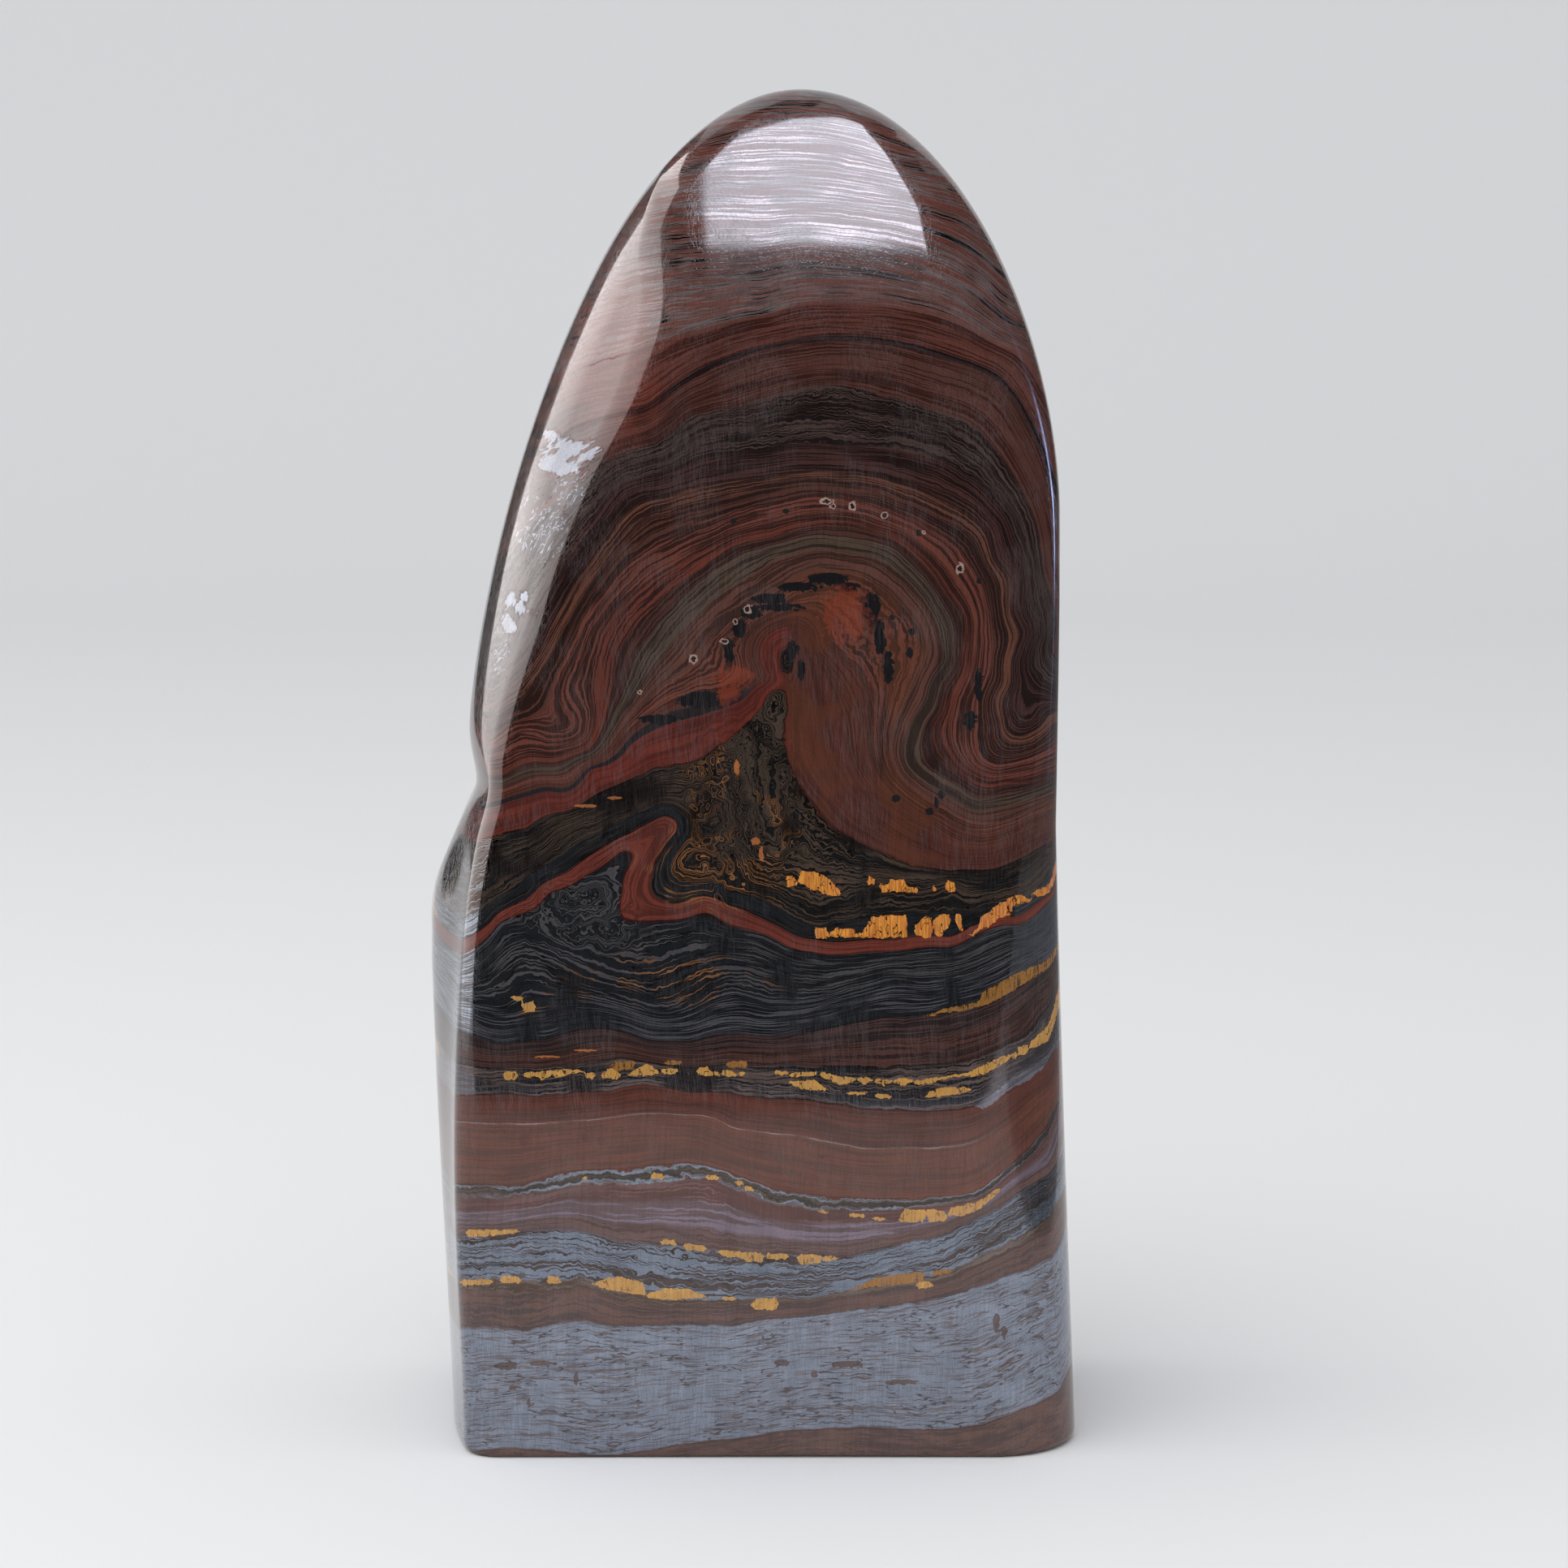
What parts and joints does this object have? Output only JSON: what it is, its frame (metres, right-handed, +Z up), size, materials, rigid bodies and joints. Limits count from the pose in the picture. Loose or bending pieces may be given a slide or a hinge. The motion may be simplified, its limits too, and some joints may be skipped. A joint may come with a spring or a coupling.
{
  "type": "tiger iron freeform",
  "caption": "Standing freeform of polished tiger iron with folded jasper, haematite and tiger's eye bands, a flat cut base, a domed top and a slanting facet.",
  "frame": {"origin": "centre of the bounding box in plan, on the flat cut base", "axes": "+Z up towards the domed top, the broad patterned front face towards -Y, +X to the right of that face; +Y is the stone's thickness"},
  "size_m": [0.073, 0.042, 0.15],
  "materials": {
    "banded_ironstone": "polished, high gloss with fine lapping scratches; red jasper, metallic grey haematite and golden tiger's eye in folded bands"
  },
  "bodies": {
    "root": {"stone": "banded_ironstone"}
  },
  "joints": []
}
